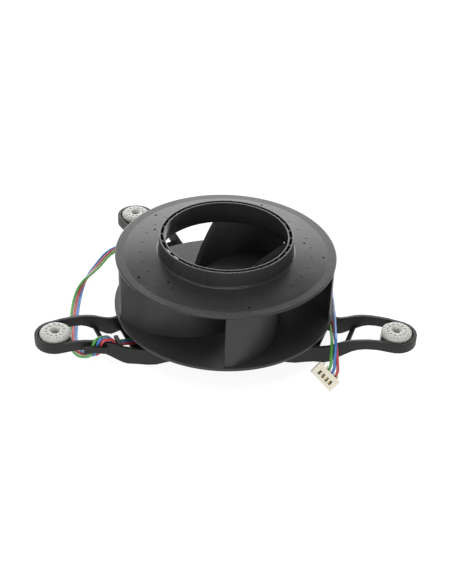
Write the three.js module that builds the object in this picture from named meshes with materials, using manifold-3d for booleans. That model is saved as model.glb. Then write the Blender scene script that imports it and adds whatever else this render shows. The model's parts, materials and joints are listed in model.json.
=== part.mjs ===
// External-rotor radial blower: a backward-curved wheel of 120 mm on a brushless motor,
// carried by a three-armed bracket with rubber dampers, and three leads with a connector.
// Millimetres, +Z up. The origin is on the wheel's axis, on the flat underside of the bracket.

import * as THREE from 'three';
import { mergeVertices } from 'three/addons/utils/BufferGeometryUtils.js';
import Module from 'manifold-3d';

const wasm = await Module();
wasm.setup();

// ---------------------------------------------------------------- driving dimensions

const TURN = 2 * Math.PI;
const GAP = 0.3; // between pieces that touch on the real object

// wheel
const WHEEL_RADIUS = 60;
const SHROUD_TOP = 48;
const SHROUD_UNDERSIDE = 46.2;
const COLLAR_TOP = 58.4;
const COLLAR_OUTER = 36.2;
const COLLAR_INNER = 33.1;
const LIP_WALL = 0.8;
const GROOVE_FLOOR = 54.6;
const GROOVE_RIBS = 30;
const BASE_PLATE_RADIUS = 61;
const BASE_PLATE_BOTTOM = 14.1;
const BASE_PLATE_TOP = 15.9;
const HUB_DOME_RADIUS = 21.6;
const HUB_DOME_TOP = 26;

// blades: each is an arc in plan, one fifth of a turn apart
const BLADE_COUNT = 5;
const BLADE_ARC_CENTRE = [-23.7, 8.8];
const BLADE_ARC_RADIUS = 44.9;
const BLADE_THICKNESS = 1.9;
const BLADE_ARC_DEGREES = [222, 317];
const BLADE_FOOT_RADIUS = 24.5;
const BLADE_EYE_RADIUS = 39.2;

// motor
const ROTOR_CUP_RADIUS = 19.4;
const ROTOR_CUP_WALL = 1.2;
const ROTOR_CUP_TOP = 23.8;
const ROTOR_CUP_RIM = 7.6;
const MAGNET_INNER = 15.9;
const STATOR_RADIUS = 15.2;
const STATOR_BOTTOM = 9.8;
const STATOR_TOP = 17;
const STATOR_POLES = 4;
const SHAFT_RADIUS = 1.5;
const BEARING_RADIUS = 4;
const BEARING_HEIGHT = 4;
const TUBE_RADIUS = 5.4;
const PCB_BOTTOM = 3.2;
const PCB_TOP = 4.2;

// bracket: one channel-shaped arm to each damper
const ARM_DEGREES = { right: 341.5, left: 205.1, rear: 125.4 };
const DAMPER_DISTANCE = 97.3;
const HUB_RADIUS = 22;
const HUB_WALL = 1.4;
const HUB_TOP = 13.2;
const FLOOR_THICKNESS = 1.6;
const FLOOR_END = 57;
const LEG_WALL = 2;
const LOOP_RADIUS = 11;
const WEB_BOTTOM = 17;
const WEB_TOP = 18.4;
const CROSSBAR = [70.4, 73.4];

// half the arm's outer width, and the height of its lower and upper edges, by distance from the axis
const LEG_HALF_WIDTH = [
  [0, 22], [40, 22], [46, 21.5], [50, 19.8], [54, 17.2], [58, 15.4], [62, 14.7],
  [67, 14.1], [73, 13.3], [79, 12.7], [85, 11.9], [91, 11.3], [97.3, 11],
];
// how much further out the left arm's leg beside the leads stands, by distance from the axis
const LEG_BULGE = [[0, 0], [44, 0], [50, 1.6], [54, 2.6], [58, 2], [62, 0.7], [67, 0], [110, 0]];
const LEG_LOWER_EDGE = [
  [0, 0], [62.5, 0], [65.5, 1.4], [68.5, 3.8], [73, 7.6], [77, 10.7], [80, 12.3], [84, 13.5], [90, 14.3], [110, 14.6],
];
const LEG_UPPER_EDGE = [
  [0, 9.8], [60, 9.9], [63.5, 10.8], [67, 12.6], [72, 15.6], [76, 17.2], [80, 18.3], [85, 19.3], [90, 19.9], [110, 20],
];

// damper
const DAMPER_TOP = 21.8;
const DAMPER_RADIUS = 8.15;
const DAMPER_FOOT_RADIUS = 8.4;
const DAMPER_BOTTOM = 13.6;
const DAMPER_NECK_RADIUS = 4.3;
const DAMPER_BORE_RADIUS = 2.6;

// leads and connector
const LEAD_DIAMETER = 1.6;
const LEAD_PITCH = 1.7;
const LEAD_SIDES = 8;
const LEAD_STEPS_PER_POINT = 2;
const CONNECTOR_WIDTH = 14.2;
const CONNECTOR_LENGTH = 7;
const CONNECTOR_THICKNESS = 5.6;
const CONTACT_PITCH = 2.5;

// ---------------------------------------------------------------- small tools

const rad = THREE.MathUtils.degToRad;

function toSolid(geometry) {
  const bare = geometry.clone();
  for (const name of Object.keys(bare.attributes)) {
    if (name !== 'position') bare.deleteAttribute(name);
  }
  const merged = mergeVertices(bare, 1e-4);
  const vertProperties = new Float32Array(merged.attributes.position.array);
  const triVerts = new Uint32Array(merged.index.array);
  return new wasm.Manifold(new wasm.Mesh({ numProp: 3, vertProperties, triVerts }));
}

function toGeometry(solid) {
  const mesh = solid.getMesh();
  const geometry = new THREE.BufferGeometry();
  geometry.setAttribute('position', new THREE.BufferAttribute(Float32Array.from(mesh.vertProperties), 3));
  geometry.setIndex(new THREE.BufferAttribute(Uint32Array.from(mesh.triVerts), 1));
  return geometry;
}

// a closed profile of [radius, height] pairs, listed anticlockwise, turned about Z
function turned(profile, segments = 48) {
  const closed = [...profile, profile[0]];
  const points = closed.map(([radius, height]) => new THREE.Vector2(radius, height));
  return new THREE.LatheGeometry(points, segments).rotateX(Math.PI / 2);
}

function ring(inner, outer, bottom, top, segments = 36) {
  return turned([[inner, bottom], [outer, bottom], [outer, top], [inner, top]], segments);
}

function disc(radius, bottom, top, segments = 36) {
  const cylinder = new THREE.CylinderGeometry(radius, radius, top - bottom, segments);
  return cylinder.rotateX(Math.PI / 2).translate(0, 0, (bottom + top) / 2);
}

function prism(outline, bottom, top, holes = []) {
  const shape = new THREE.Shape(outline.map(([x, y]) => new THREE.Vector2(x, y)));
  shape.holes = holes.map((hole) => new THREE.Path(hole.map(([x, y]) => new THREE.Vector2(x, y))));
  const settings = { depth: top - bottom, bevelEnabled: false };
  return new THREE.ExtrudeGeometry(shape, settings).translate(0, 0, bottom);
}

// a block between two corners
function block([x0, y0, z0], [x1, y1, z1]) {
  const box = new THREE.BoxGeometry(x1 - x0, y1 - y0, z1 - z0);
  return box.translate((x0 + x1) / 2, (y0 + y1) / 2, (z0 + z1) / 2);
}

// a value read from a list of [place, value] stations, eased between them
function stationValue(stations, place) {
  const last = stations.length - 1;
  const found = stations.findIndex(([at]) => at >= place);
  const upper = found < 0 ? last : Math.max(found, 1);
  const [p0, v0] = stations[upper - 1];
  const [p1, v1] = stations[upper];
  return THREE.MathUtils.lerp(v0, v1, THREE.MathUtils.clamp((place - p0) / (p1 - p0), 0, 1));
}

function steps(from, to, count) {
  return Array.from({ length: count + 1 }, (_, i) => from + ((to - from) * i) / count);
}

function material(color, roughness, metalness = 0) {
  return new THREE.MeshStandardMaterial({ color, roughness, metalness });
}

const blackPlastic = material(0x2b2b2b, 0.42);
const bracketPlastic = material(0x333333, 0.5);
const silicone = material(0xdadad2, 0.55);
const steel = material(0xb4b6b8, 0.35, 1);
const zincSteel = material(0x9fa3a6, 0.4, 1);
const brass = material(0xb9975b, 0.35, 1);
const ferrite = material(0x3c3a38, 0.8);
const copper = material(0xb0622f, 0.35, 1);
const nylon = material(0xd8d3c4, 0.5);
const boardGreen = material(0x1f5b3a, 0.5);
const chipBlack = material(0x1c1c1e, 0.5);
const tin = material(0xc9c6bd, 0.35, 1);
const greenPvc = material(0x5faa50, 0.4);
const bluePvc = material(0x4682c8, 0.4);
const redPvc = material(0xc8464b, 0.4);

const group = new THREE.Group();

function piece(name, geometry, finish, parent = group) {
  const mesh = new THREE.Mesh(geometry, finish);
  mesh.name = name;
  parent.add(mesh);
  return mesh;
}

// ---------------------------------------------------------------- wheel

// underside of the shroud, which the blades' upper edges follow
const SHROUD_UNDERSIDE_PROFILE = [[38.2, 43.4], [41.5, 45.6], [46, SHROUD_UNDERSIDE], [WHEEL_RADIUS, 46.7]];

function wheelShroud() {
  const groove = [COLLAR_INNER + LIP_WALL, COLLAR_OUTER - LIP_WALL];
  const body = toSolid(turned([
    ...SHROUD_UNDERSIDE_PROFILE,
    [WHEEL_RADIUS, 47.7], [59.6, SHROUD_TOP], [55, SHROUD_TOP],
    [39.4, 49.1], [37.9, 49.5], [37, 50.4], [36.6, 52], [COLLAR_OUTER, COLLAR_TOP],
    [groove[1], COLLAR_TOP], [groove[1], GROOVE_FLOOR], [groove[0], GROOVE_FLOOR], [groove[0], COLLAR_TOP],
    [COLLAR_INNER, COLLAR_TOP], [COLLAR_INNER, 54], [33.6, 50.5], [34.6, 47.2], [36, 44.2], [37, 43.2],
  ]));
  const ribHalfWidth = 0.5;
  const ribs = steps(0, 360, GROOVE_RIBS).slice(0, GROOVE_RIBS).map((angle) => toSolid(
    block([groove[0] - 0.3, -ribHalfWidth, GROOVE_FLOOR - 0.3], [groove[1] + 0.3, ribHalfWidth, COLLAR_TOP - 0.7])
      .rotateZ(rad(angle)),
  ));
  return toGeometry(ribs.reduce((whole, rib) => whole.add(rib), body));
}

function bladeOutline() {
  const [cx, cy] = BLADE_ARC_CENTRE;
  const at = (radius, angle) => [cx + radius * Math.cos(rad(angle)), cy + radius * Math.sin(rad(angle))];
  const angles = steps(BLADE_ARC_DEGREES[0], BLADE_ARC_DEGREES[1], 12);
  const outer = angles.map((angle) => at(BLADE_ARC_RADIUS, angle));
  const inner = angles.map((angle) => at(BLADE_ARC_RADIUS - BLADE_THICKNESS, angle));
  return [...outer, ...inner.reverse()];
}

// the space swept by the blades: sloping at the eye, and just under the shroud at the top
function bladeEnvelope() {
  const upper = SHROUD_UNDERSIDE_PROFILE.map(([radius, height]) => [
    THREE.MathUtils.clamp(radius, BLADE_EYE_RADIUS, WHEEL_RADIUS - 0.2),
    height - GAP,
  ]);
  return toSolid(turned([
    [BLADE_FOOT_RADIUS, BASE_PLATE_BOTTOM + 0.6], [WHEEL_RADIUS - 0.2, BASE_PLATE_BOTTOM + 0.6],
    ...upper.reverse(),
    [BLADE_FOOT_RADIUS + 0.2, BASE_PLATE_TOP],
  ]));
}

function wheelBase() {
  const plate = toSolid(turned([
    [0, HUB_DOME_TOP - 1.9], [17, HUB_DOME_TOP - 1.9], [19.8, 23.4], [19.8, BASE_PLATE_BOTTOM],
    [BASE_PLATE_RADIUS, BASE_PLATE_BOTTOM], [BASE_PLATE_RADIUS, BASE_PLATE_TOP],
    [27, BASE_PLATE_TOP], [24, 16.6], [22.4, 18.3], [HUB_DOME_RADIUS, 21.4], [20.4, 24.6], [17.6, HUB_DOME_TOP],
    [0, HUB_DOME_TOP],
  ]));
  const outline = bladeOutline();
  const blades = steps(0, 360, BLADE_COUNT).slice(0, BLADE_COUNT).map((turn) => toSolid(
    prism(outline, BASE_PLATE_BOTTOM + 0.4, SHROUD_TOP).rotateZ(rad(turn)),
  ));
  const bladeRing = blades.reduce((whole, blade) => whole.add(blade)).intersect(bladeEnvelope());
  return toGeometry(plate.add(bladeRing));
}

// a small steel weight pressed into the groove of the collar
function balanceWeight() {
  const inner = COLLAR_INNER + LIP_WALL + GAP;
  const outer = COLLAR_OUTER - LIP_WALL - GAP;
  const arc = steps(-3.4, 3.4, 4).map(rad);
  const outline = [
    ...arc.map((angle) => [outer * Math.cos(angle), outer * Math.sin(angle)]),
    ...arc.reverse().map((angle) => [inner * Math.cos(angle), inner * Math.sin(angle)]),
  ];
  return prism(outline, GROOVE_FLOOR + GAP, COLLAR_TOP - 0.2);
}

piece('wheel_shroud', wheelShroud(), blackPlastic);
piece('wheel_base', wheelBase(), blackPlastic);
piece('balance_weight_1', balanceWeight(), zincSteel).rotation.z = rad(222);
piece('balance_weight_2', balanceWeight(), zincSteel).rotation.z = rad(210);

// ---------------------------------------------------------------- motor: turning pieces

function rotorCup() {
  const inner = ROTOR_CUP_RADIUS - ROTOR_CUP_WALL;
  const ceiling = ROTOR_CUP_TOP - ROTOR_CUP_WALL;
  const neckHole = 3.2;
  return turned([
    [neckHole, ceiling], [inner - 2, ceiling], [inner, ceiling - 2], [inner, ROTOR_CUP_RIM],
    [ROTOR_CUP_RADIUS, ROTOR_CUP_RIM], [ROTOR_CUP_RADIUS, ROTOR_CUP_TOP - 3], [ROTOR_CUP_RADIUS - 3, ROTOR_CUP_TOP],
    [neckHole, ROTOR_CUP_TOP],
  ], 36);
}

function rotorBush() {
  const bore = SHAFT_RADIUS + 0.15;
  return turned([[bore, 20.4], [5.5, 20.4], [5.5, 22.3], [2.9, 22.3], [2.9, 23.6], [bore, 23.6]], 24);
}

class EvenByPoint extends THREE.CatmullRomCurve3 {
  // stations fall evenly between the listed points, so close points give close stations
  getUtoTmapping(u) {
    return u;
  }
}

function roundSection(radius, sides) {
  const corners = steps(0, TURN, sides).slice(0, sides);
  return new THREE.Shape(corners.map((a) => new THREE.Vector2(radius * Math.cos(a), radius * Math.sin(a))));
}

function tube(points, radius, sides, count) {
  const path = new EvenByPoint(points, false, 'centripetal');
  const settings = { steps: count, extrudePath: path, bevelEnabled: false };
  return new THREE.ExtrudeGeometry(roundSection(radius, sides), settings);
}

function preloadSpring() {
  const turns = 2;
  const coilRadius = 2.5;
  const rise = 1.2;
  const points = steps(0, 1, 12 * turns).map((u) => {
    const angle = TURN * turns * u;
    return new THREE.Vector3(coilRadius * Math.cos(angle), coilRadius * Math.sin(angle), 18.75 + rise * u);
  });
  return tube(points, 0.2, 6, 12 * turns);
}

piece('rotor_cup', rotorCup(), zincSteel);
piece('ring_magnet', ring(MAGNET_INNER, ROTOR_CUP_RADIUS - ROTOR_CUP_WALL - GAP, 8.2, 19.5), ferrite);
piece('rotor_bush', rotorBush(), brass);
piece('shaft', disc(SHAFT_RADIUS, 3, 23.4, 24), steel);
piece('retaining_ring', ring(SHAFT_RADIUS + 0.15, 3.2, 3.6, 4.1, 24), steel);
piece('preload_spring', preloadSpring(), steel);

// ---------------------------------------------------------------- motor: fixed pieces

const BEARING_BOTTOMS = { lower: 4.4, upper: 14.2 };

for (const [name, bottom] of Object.entries(BEARING_BOTTOMS)) {
  piece(`bearing_${name}`, ring(SHAFT_RADIUS + 0.15, BEARING_RADIUS, bottom, bottom + BEARING_HEIGHT, 24), steel);
}
piece('bearing_tube', ring(BEARING_RADIUS + 0.2, TUBE_RADIUS, FLOOR_THICKNESS + GAP, 18.3, 24), brass);
piece('thrust_washer', disc(3.8, FLOOR_THICKNESS + GAP, 2.7, 24), nylon);

// four poles on a ring; the insulators are thinner copies of the same outline
function poleOutlineSolid(ringOuter, toothHalfWidth, shoeOuter, shoeInner, shoeDegrees, bottom, top) {
  const centre = toSolid(ring(TUBE_RADIUS + GAP, ringOuter, bottom, top, 24));
  const arc = steps(-shoeDegrees, shoeDegrees, 6).map(rad);
  const shoe = [
    ...arc.map((angle) => [shoeOuter * Math.cos(angle), shoeOuter * Math.sin(angle)]),
    ...arc.reverse().map((angle) => [shoeInner * Math.cos(angle), shoeInner * Math.sin(angle)]),
  ];
  let whole = centre;
  for (const turn of steps(0, 360, STATOR_POLES).slice(0, STATOR_POLES)) {
    const tooth = block([ringOuter - 1, -toothHalfWidth, bottom], [shoeInner + 0.5, toothHalfWidth, top]);
    whole = whole.add(toSolid(tooth.rotateZ(rad(turn + 45))));
    whole = whole.add(toSolid(prism(shoe, bottom, top).rotateZ(rad(turn + 45))));
  }
  return toGeometry(whole);
}

function coil() {
  const hole = [[-2.9, 8], [2.9, 8], [2.9, 18.8], [-2.9, 18.8]];
  const outline = [
    [-3.6, 6.8], [3.6, 6.8], [4.8, 7.8], [4.8, 19], [3.6, 20], [-3.6, 20], [-4.8, 19], [-4.8, 7.8],
  ];
  // drawn across the tooth, then stood up so that it wraps the tooth along +X
  return prism(outline, 9.2, 12, [hole]).rotateX(Math.PI / 2).rotateZ(Math.PI / 2);
}

piece('stator_core', poleOutlineSolid(8.4, 2.4, STATOR_RADIUS, 13.4, 38, STATOR_BOTTOM, STATOR_TOP), zincSteel);
piece('insulator_upper', poleOutlineSolid(8.4, 2.5, 14.6, 13.3, 34, STATOR_TOP + GAP, STATOR_TOP + 1.5), nylon);
piece('insulator_lower', poleOutlineSolid(8.4, 2.5, 14.6, 13.3, 34, STATOR_BOTTOM - 1.5, STATOR_BOTTOM - GAP), nylon);
for (let i = 0; i < STATOR_POLES; i += 1) {
  piece(`coil_${i + 1}`, coil(), copper).rotation.z = rad(45 + (360 / STATOR_POLES) * i);
}

function circuitBoard() {
  return ring(7.8, HUB_RADIUS - HUB_WALL - 0.4, PCB_BOTTOM, PCB_TOP);
}

// a component of length x width x height on the board, at a radius and an angle
function onBoard(name, size, radius, degrees, finish) {
  const [length, width, height] = size;
  const base = PCB_TOP + GAP;
  const body = block([-length / 2, -width / 2, base], [length / 2, width / 2, base + height]);
  const mesh = piece(name, body.translate(radius, 0, 0), finish);
  mesh.rotation.z = rad(degrees);
}

piece('circuit_board', circuitBoard(), boardGreen);
onBoard('hall_sensor', [1.4, 3.2, 2.6], 17, 90, chipBlack);
onBoard('driver_ic', [4.4, 5.2, 1.5], 12.4, 0, chipBlack);
onBoard('filter_capacitor', [2.6, 3.4, 1.8], 13, 120, nylon);
onBoard('sense_resistor', [1.8, 3.4, 0.8], 13, 300, chipBlack);

// ---------------------------------------------------------------- bracket

const legHalfWidth = (s) => stationValue(LEG_HALF_WIDTH, s);

// outline of an arm in plan, s along the arm and t across it, drawn in from its outer face by an inset
function armOutline(inset, start, name) {
  const bulge = (s) => (name === 'left' ? stationValue(LEG_BULGE, s) : 0);
  const along = steps(start, DAMPER_DISTANCE, 22);
  const one = along.map((s) => [s, -(legHalfWidth(s) - inset)]);
  const end = steps(-80, 80, 12).map((angle) => [
    DAMPER_DISTANCE + (LOOP_RADIUS - inset) * Math.cos(rad(angle)),
    (LOOP_RADIUS - inset) * Math.sin(rad(angle)),
  ]);
  const other = along.map((s) => [s, legHalfWidth(s) + bulge(s) - inset]).reverse();
  return [...one, ...end, ...other];
}

// side view of an arm, as a slab wide enough to cut any plan shape of it
function armSide(lower = LEG_LOWER_EDGE, upper = LEG_UPPER_EDGE) {
  return toSolid(prism([...lower, ...[...upper].reverse()], -30, 30).rotateX(Math.PI / 2));
}

function armWalls(name) {
  const inside = toSolid(prism(armOutline(LEG_WALL, -1, name), -2, 26));
  const walls = toSolid(prism(armOutline(0, 0, name), -1, 25)).subtract(inside);
  return walls.intersect(armSide());
}

function armFloor(name) {
  const inside = toSolid(prism(armOutline(0.5, 0, name), 0, FLOOR_THICKNESS));
  return inside.intersect(toSolid(block([-1, -30, -1], [FLOOR_END, 30, 3])));
}

// bar between the legs, along their lower edges
function armCrossbar() {
  const lower = stationValue(LEG_LOWER_EDGE, CROSSBAR[0]);
  const rise = stationValue(LEG_LOWER_EDGE, CROSSBAR[1]) - lower;
  const thickness = 2;
  const side = [
    [CROSSBAR[0], lower], [CROSSBAR[1], lower + rise], [CROSSBAR[1], lower + rise + thickness],
    [CROSSBAR[0], lower + thickness],
  ];
  const reach = legHalfWidth(CROSSBAR[1]) - LEG_WALL / 2;
  return toSolid(prism(side, -reach, reach).rotateX(Math.PI / 2));
}

// plate that closes the loop and holds the damper by its neck
function armWeb(name) {
  const plate = toSolid(prism(armOutline(0.5, 80, name), WEB_BOTTOM, WEB_TOP));
  const beyond = toSolid(block([DAMPER_DISTANCE - 7, -20, 0], [120, 20, 30]));
  const hole = toSolid(disc(DAMPER_NECK_RADIUS + GAP, 0, 30, 24).translate(DAMPER_DISTANCE, 0, 0));
  return plate.intersect(beyond).subtract(hole);
}

function inArmFrame(solid, name) {
  return solid.rotate([0, 0, ARM_DEGREES[name]]);
}

// two fingers on the left arm's near leg, which hold the leads
const LEAD_SLOT = 2.3;
const FINGER_WALL = 1.5;

function leadFingers() {
  const along = steps(73.4, 86.6, 8);
  const easedSlot = (s) => LEAD_SLOT * THREE.MathUtils.smoothstep(s, 72.6, 76);
  const innerFace = along.map((s) => [s, legHalfWidth(s) + easedSlot(s) - (s < 75 ? 0.6 : 0)]);
  const outerFace = along.map((s) => [s, legHalfWidth(s) + easedSlot(s) + FINGER_WALL]).reverse();
  const outer = toSolid(prism([...innerFace, ...outerFace], 0, 25));
  const lower = [[73, 10.4], [77, 12.2], [81, 13.4], [87, 13.8]];
  const upper = [[73, 14.8], [77, 16.2], [81, 17.4], [87, 17.9]];
  const finger = outer.intersect(armSide(lower, upper));
  const cross = toSolid(block([64.9, 5.2, 11.6], [67.1, 13.4, 13.3]));
  return finger.add(cross);
}

function bracket() {
  const names = Object.keys(ARM_DEGREES);
  const hubDisc = toSolid(disc(HUB_RADIUS + 0.4, 0, FLOOR_THICKNESS, 48));
  const hubRing = toSolid(ring(HUB_RADIUS - HUB_WALL, HUB_RADIUS, 0, HUB_TOP, 48));
  const hubSpace = toSolid(disc(HUB_RADIUS - HUB_WALL / 2, FLOOR_THICKNESS, 30, 48));
  let whole = hubDisc;
  for (const name of names) {
    let walls = inArmFrame(armWalls(name), name);
    for (const other of names.filter((each) => each !== name)) {
      const space = toSolid(prism(armOutline(LEG_WALL, 0, other), FLOOR_THICKNESS / 2, 30));
      walls = walls.subtract(inArmFrame(space, other));
    }
    whole = whole.add(walls.subtract(hubSpace));
    for (const extra of [armFloor(name), armCrossbar(), armWeb(name)]) {
      whole = whole.add(inArmFrame(extra, name));
    }
  }
  whole = whole.add(hubRing).add(inArmFrame(leadFingers(), 'left'));
  const tubeCollar = toSolid(ring(TUBE_RADIUS + GAP, 7.4, FLOOR_THICKNESS - 0.4, 6, 24));
  whole = whole.add(tubeCollar);
  for (const angle of [20, 150, 270]) {
    whole = whole.add(toSolid(disc(1.2, 1, PCB_BOTTOM - GAP, 12).translate(17.5, 0, 0).rotateZ(rad(angle))));
  }
  const leadNotch = toSolid(block([HUB_RADIUS - 3, -3.6, 2.2], [HUB_RADIUS + 1, 3.6, 20]));
  return toGeometry(whole.subtract(inArmFrame(leadNotch, 'left')));
}

piece('bracket', bracket(), bracketPlastic);

// a frame along each arm: x away from the axis, y across the arm
function armFrame(name) {
  const frame = new THREE.Group();
  frame.rotation.z = rad(ARM_DEGREES[name]);
  group.add(frame);
  return frame;
}

const armFrames = Object.fromEntries(Object.keys(ARM_DEGREES).map((name) => [name, armFrame(name)]));

function grommet() {
  return block([HUB_RADIUS - HUB_WALL, -3.3, 2.5], [HUB_RADIUS + HUB_WALL, 3.3, 7]);
}

piece('lead_grommet', grommet(), chipBlack, armFrames.left);

// ---------------------------------------------------------------- dampers

function damper() {
  return turned([
    [DAMPER_BORE_RADIUS, DAMPER_BOTTOM], [DAMPER_FOOT_RADIUS - 0.6, DAMPER_BOTTOM],
    [DAMPER_FOOT_RADIUS, DAMPER_BOTTOM + 0.6], [DAMPER_FOOT_RADIUS, WEB_BOTTOM - GAP],
    [DAMPER_NECK_RADIUS, WEB_BOTTOM - GAP], [DAMPER_NECK_RADIUS, WEB_TOP + GAP],
    [DAMPER_RADIUS, WEB_TOP + GAP], [DAMPER_RADIUS, DAMPER_TOP - 0.5], [DAMPER_RADIUS - 0.5, DAMPER_TOP],
    [DAMPER_BORE_RADIUS, DAMPER_TOP],
  ], 28);
}

for (const name of Object.keys(ARM_DEGREES)) {
  piece(`damper_${name}`, damper(), silicone, armFrames[name]).position.x = DAMPER_DISTANCE;
}

// ---------------------------------------------------------------- leads

// The middle of the three leads, from the hub to the connector, laid through the two fingers, under
// the left arm, round the wheel on the ground and over the right arm. Each row is x, y, z, then the
// azimuth and the tilt, in degrees, of the line on which the leads lie side by side, then the places
// of the green, blue and red lead on that line, in pitches, and how far the blue one rides up.
const LEAD_ROUTE = [
  [-21.5, -10.1, 4.6, 295, 0, -1, 0, 1, 0],
  [-43, -21.4, 3, 297, 0, -1, 0, 1, 0],
  [-51, -27.9, 5.2, 302, 0, -1, 0, 1, 0],
  [-54.4, -32, 7.9, 302, 0, -1, 0, 1, 0],
  [-56.7, -35, 9.4, 305, 0, -1.1, 0, 1.1, 0],
  [-58.6, -37.2, 11.5, 312, 0, -1.1, 0, 1.1, 0],
  [-59.4, -38.4, 15.4, 318, 0, -1.1, 0, 1.1, 0],
  [-61.1, -40.8, 17.3, 327, 0, -1.2, 0, 1.2, 0],
  [-63.1, -43.5, 18.8, 340, 0, -1.2, 0, 1.2, 0],
  [-64.7, -45.7, 19.3, 365, 0, -1.3, 0, 1.35, 0],
  [-65.7, -46.07, 16.6, 379, 0, -1.3, 0, 1.2, 0],
  [-66.3, -46.2, 13.4, 379, 0, -1.3, 0, 1.2, 0],
  [-67.2, -46.1, 10.4, 379, 0, -1.3, 0, 1.2, 0],
  [-69.2, -43, 7, 387, 0, -1.2, 0, 1.2, 0.2],
  [-72, -40, 4.4, 394, 0, -1.1, 0.2, 1.1, 0.75],
  [-75.6, -36.6, 2, 398, 0, -1, 0.55, 0.6, 1.1],
  [-79.4, -31.5, 1.1, 390, 0, -1, 1.1, 0, 0.7],
  [-82.2, -22, 0.95, 370, 0, -1, 1, 0, 0.1],
  [-83.6, -9, 0.9, 364, 0, -1, 1, 0, 0],
  [-84.8, 8, 1.25, 362, -12, -1, 1, 0, 0],
  [-84.4, 20, 2.1, 359, -45, -1, 1, 0, 0],
  [-82.9, 29, 2.6, 356, -90, -1, 1, 0, 0],
  [-81, 37, 2.1, 171, -45, -1, 1, 0, 0],
  [-77.6, 48, 1.25, 158, -12, -1, 1, 0, 0],
  [-70.2, 66.4, 0.9, 138, 0, -1, 1, 0, 0],
  [-58, 74.5, 0.9, 107, 0, -1, 1, 0, 0],
  [-38, 73.5, 0.9, 86, 0, -1, 1, 0, 0],
  [2, 73.5, 0.9, 89, 0, -1, 1, 0, 0],
  [26, 72, 0.9, 78, 0, -1, 1, 0, 0],
  [45, 64, 0.9, 58, 0, -1, 1, 0, 0],
  [56.5, 52, 1, 35, 0, -1, 1, 0, 0],
  [60.5, 38, 3, 8, 0, -1, 1, 0, 0],
  [60.2, 18, 7.4, 0, 0, -1, 1, 0, 0],
  [59.9, -7.4, 11.4, -3, 0, -1, 0.8, 0, 0.8],
  [60.3, -25, 12.9, -4, 0, -1, 0.2, 0, 1.05],
  [59.9, -35, 15.3, -8, 0, -1.1, 0, 0.1, 1.05],
  [59.5, -41.6, 13.9, -14, -15, -1.2, 0, 0.6, 0.95],
  [58.8, -47.3, 12.2, -24, -28, -1.35, 0, 1.25, 0.2],
  [58.7, -51.25, 10.67, -28, -35.4, -1.47, 0, 1.47, 0],
  [57.3, -53.45, 9.29, -28.2, -35.4, -1.47, 0, 1.47, 0],
];

function leadPoints(lane) {
  return LEAD_ROUTE.map(([x, y, z, azimuth, tilt, ...places]) => {
    const side = places[lane] * LEAD_PITCH;
    const ride = lane === 1 ? places[3] * LEAD_PITCH : 0;
    const level = side * Math.cos(rad(tilt));
    return new THREE.Vector3(
      x + level * Math.cos(rad(azimuth)),
      y + level * Math.sin(rad(azimuth)),
      z + side * Math.sin(rad(tilt)) + ride,
    );
  });
}

function lead(lane) {
  const points = leadPoints(lane);
  return tube(points, LEAD_DIAMETER / 2, LEAD_SIDES, LEAD_STEPS_PER_POINT * (points.length - 1));
}

piece('lead_green', lead(0), greenPvc);
piece('lead_blue', lead(1), bluePvc);
piece('lead_red', lead(2), redPvc);

// ---------------------------------------------------------------- connector

// The connector stands tipped on one corner. In its own frame x runs along the row of contacts,
// y back along the leads, and z out of the face that has the contact windows.
const CONNECTOR_CENTRE = [53.8, -56.85, 9.36];
const connectorFrame = new THREE.Group();
connectorFrame.position.set(...CONNECTOR_CENTRE);
connectorFrame.rotation.set(rad(56.4), 0, rad(-44));
group.add(connectorFrame);

const CONTACT_PLACES = [-1.5, -0.5, 0.5, 1.5].map((place) => place * CONTACT_PITCH);
const LEADED_PLACES = CONTACT_PLACES.slice(1);

function connectorHousing() {
  const x = CONNECTOR_WIDTH / 2;
  const y = CONNECTOR_LENGTH / 2;
  let whole = toSolid(block([-x, -y, -CONNECTOR_THICKNESS], [x, y, 0]));
  for (const place of CONTACT_PLACES) {
    const window = block([place - 0.75, -1.6, -2.4], [place + 0.75, 0.8, 0.5]);
    const cavity = block([place - 0.95, -2.2, -3.9], [place + 0.95, y + 0.5, -1.7]);
    const pinEntry = block([place - 0.5, -y - 0.5, -3.4], [place + 0.5, -2, -2.3]);
    for (const hollow of [window, cavity, pinEntry]) {
      whole = whole.subtract(toSolid(hollow));
    }
  }
  for (const fin of steps(-2 * CONTACT_PITCH, 2 * CONTACT_PITCH, 4)) {
    whole = whole.add(toSolid(block([fin - 0.25, y - 0.2, -4.6], [fin + 0.25, y + 1.4, -1])));
  }
  return toGeometry(whole);
}

piece('connector_housing', connectorHousing(), nylon, connectorFrame);
LEADED_PLACES.forEach((place, index) => {
  const terminal = block([place - 0.5, -1.8, -3.4], [place + 0.5, 2.6, -2.2]);
  piece(`terminal_${index + 1}`, terminal, tin, connectorFrame);
});

export default group;
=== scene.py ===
import json
import math

import bpy
from bpy.props import FloatProperty, FloatVectorProperty, IntProperty, PointerProperty
from bpy.types import Operator, Panel, PropertyGroup
from mathutils import Matrix, Vector

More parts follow.
